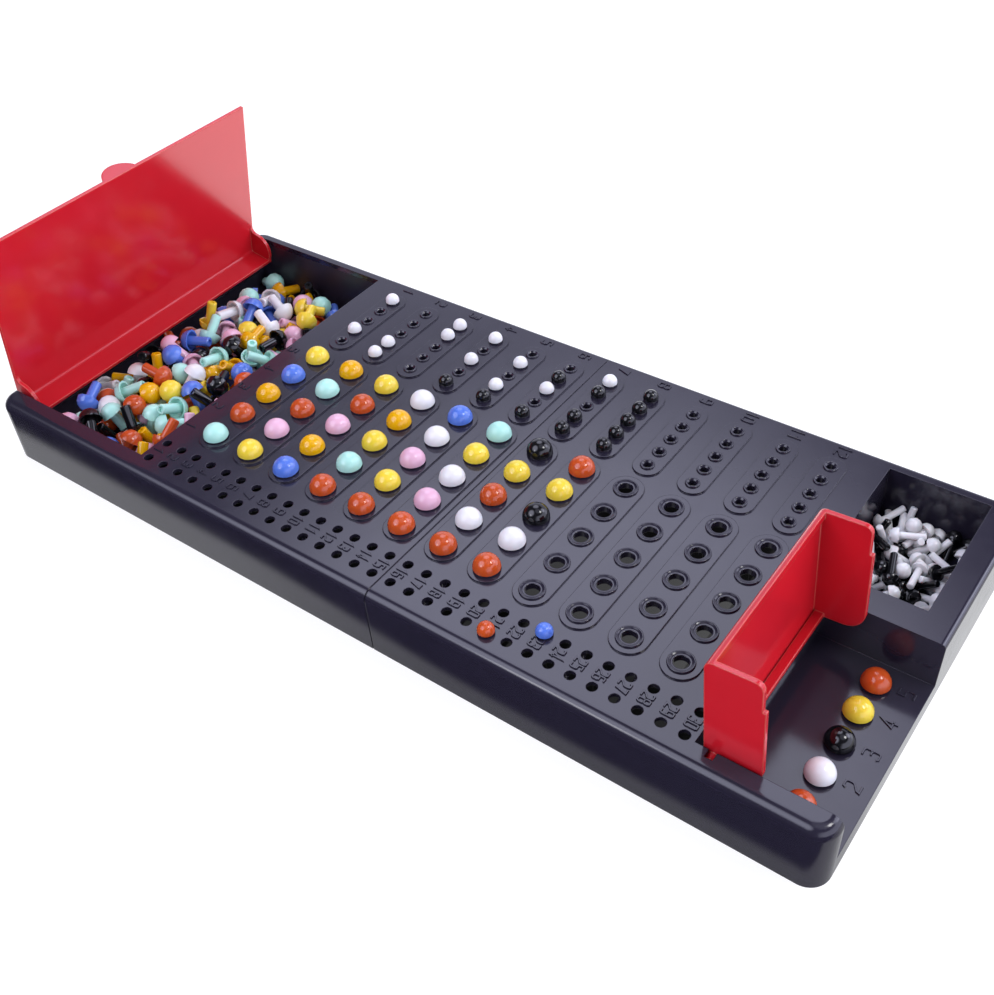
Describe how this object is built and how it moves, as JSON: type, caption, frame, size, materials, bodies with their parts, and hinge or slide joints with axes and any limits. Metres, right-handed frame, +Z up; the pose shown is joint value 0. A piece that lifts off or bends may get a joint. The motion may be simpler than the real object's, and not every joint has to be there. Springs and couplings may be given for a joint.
{
  "type": "code-breaking peg game case",
  "caption": "Low rectangular travel case for a code-breaking peg game: perforated deck, hinged red lid over the peg store, hinged red shield over the secret row.",
  "frame": {"origin": "centre of the underside of the case, on the table", "axes": "+X from the peg store to the secret row, +Y from the score holes to the row numbers, +Z up"},
  "size_m": [0.395, 0.166, 0.1045],
  "materials": {
    "case": "dark charcoal moulded plastic, satin gloss with a fine spark texture",
    "cover": "glossy deep red moulded plastic",
    "peg_teal": "glossy teal moulded plastic",
    "peg_red": "glossy red moulded plastic",
    "peg_orange": "glossy orange moulded plastic",
    "peg_blue": "glossy blue moulded plastic",
    "peg_yellow": "glossy yellow moulded plastic",
    "peg_pink": "glossy pink moulded plastic",
    "peg_white": "glossy white moulded plastic",
    "peg_black": "glossy black moulded plastic"
  },
  "bodies": {
    "root": {"left_tray": "case", "right_tray": "case", "loose_teal": "peg_teal", "loose_red": "peg_red", "loose_orange": "peg_orange", "loose_blue": "peg_blue", "loose_yellow": "peg_yellow", "loose_pink": "peg_pink", "loose_white": "peg_white", "loose_black": "peg_black", "loose_key_white": "peg_white", "loose_key_black": "peg_black"},
    "lid": {"peg_store_lid": "cover"},
    "shield": {"code_shield": "cover"},
    "guess_teal": {"guess_teal": "peg_teal"},
    "guess_red": {"guess_red": "peg_red"},
    "guess_orange": {"guess_orange": "peg_orange"},
    "guess_blue": {"guess_blue": "peg_blue"},
    "guess_yellow": {"guess_yellow": "peg_yellow"},
    "guess_pink": {"guess_pink": "peg_pink"},
    "guess_white": {"guess_white": "peg_white"},
    "guess_black": {"guess_black": "peg_black"},
    "key_white": {"key_white": "peg_white"},
    "key_black": {"key_black": "peg_black"},
    "score_red": {"score_red": "peg_red"},
    "score_blue": {"score_blue": "peg_blue"},
    "secret_1": {"secret_1": "peg_red"},
    "secret_2": {"secret_2": "peg_white"},
    "secret_3": {"secret_3": "peg_black"},
    "secret_4": {"secret_4": "peg_yellow"},
    "secret_5": {"secret_5": "peg_red"}
  },
  "joints": [
    {"name": "lid_hinge", "type": "hinge", "parent": "root", "child": "lid", "pos_m": [-0.19185, 0, 0.0245], "axis": [0, -1, 0], "range_deg": [-79.5, 35]},
    {"name": "shield_hinge", "type": "hinge", "parent": "root", "child": "shield", "pos_m": [0.15295, 0, 0.0265], "axis": [0, -1, 0], "range_deg": [-93.5, 20]},
    {"name": "guess_teal_lift", "type": "slide", "parent": "root", "child": "guess_teal", "axis": [0, 0, 1], "range_m": [0, 0.014]},
    {"name": "guess_red_lift", "type": "slide", "parent": "root", "child": "guess_red", "axis": [0, 0, 1], "range_m": [0, 0.014]},
    {"name": "guess_orange_lift", "type": "slide", "parent": "root", "child": "guess_orange", "axis": [0, 0, 1], "range_m": [0, 0.014]},
    {"name": "guess_blue_lift", "type": "slide", "parent": "root", "child": "guess_blue", "axis": [0, 0, 1], "range_m": [0, 0.014]},
    {"name": "guess_yellow_lift", "type": "slide", "parent": "root", "child": "guess_yellow", "axis": [0, 0, 1], "range_m": [0, 0.014]},
    {"name": "guess_pink_lift", "type": "slide", "parent": "root", "child": "guess_pink", "axis": [0, 0, 1], "range_m": [0, 0.014]},
    {"name": "guess_white_lift", "type": "slide", "parent": "root", "child": "guess_white", "axis": [0, 0, 1], "range_m": [0, 0.014]},
    {"name": "guess_black_lift", "type": "slide", "parent": "root", "child": "guess_black", "axis": [0, 0, 1], "range_m": [0, 0.014]},
    {"name": "key_white_lift", "type": "slide", "parent": "root", "child": "key_white", "axis": [0, 0, 1], "range_m": [0, 0.014]},
    {"name": "key_black_lift", "type": "slide", "parent": "root", "child": "key_black", "axis": [0, 0, 1], "range_m": [0, 0.014]},
    {"name": "score_red_lift", "type": "slide", "parent": "root", "child": "score_red", "axis": [0, 0, 1], "range_m": [0, 0.014]},
    {"name": "score_blue_lift", "type": "slide", "parent": "root", "child": "score_blue", "axis": [0, 0, 1], "range_m": [0, 0.014]},
    {"name": "secret_1_lift", "type": "slide", "parent": "root", "child": "secret_1", "axis": [0, 0, 1], "range_m": [0, 0.012]},
    {"name": "secret_2_lift", "type": "slide", "parent": "root", "child": "secret_2", "axis": [0, 0, 1], "range_m": [0, 0.012]},
    {"name": "secret_3_lift", "type": "slide", "parent": "root", "child": "secret_3", "axis": [0, 0, 1], "range_m": [0, 0.012]},
    {"name": "secret_4_lift", "type": "slide", "parent": "root", "child": "secret_4", "axis": [0, 0, 1], "range_m": [0, 0.012]},
    {"name": "secret_5_lift", "type": "slide", "parent": "root", "child": "secret_5", "axis": [0, 0, 1], "range_m": [0, 0.012]}
  ]
}
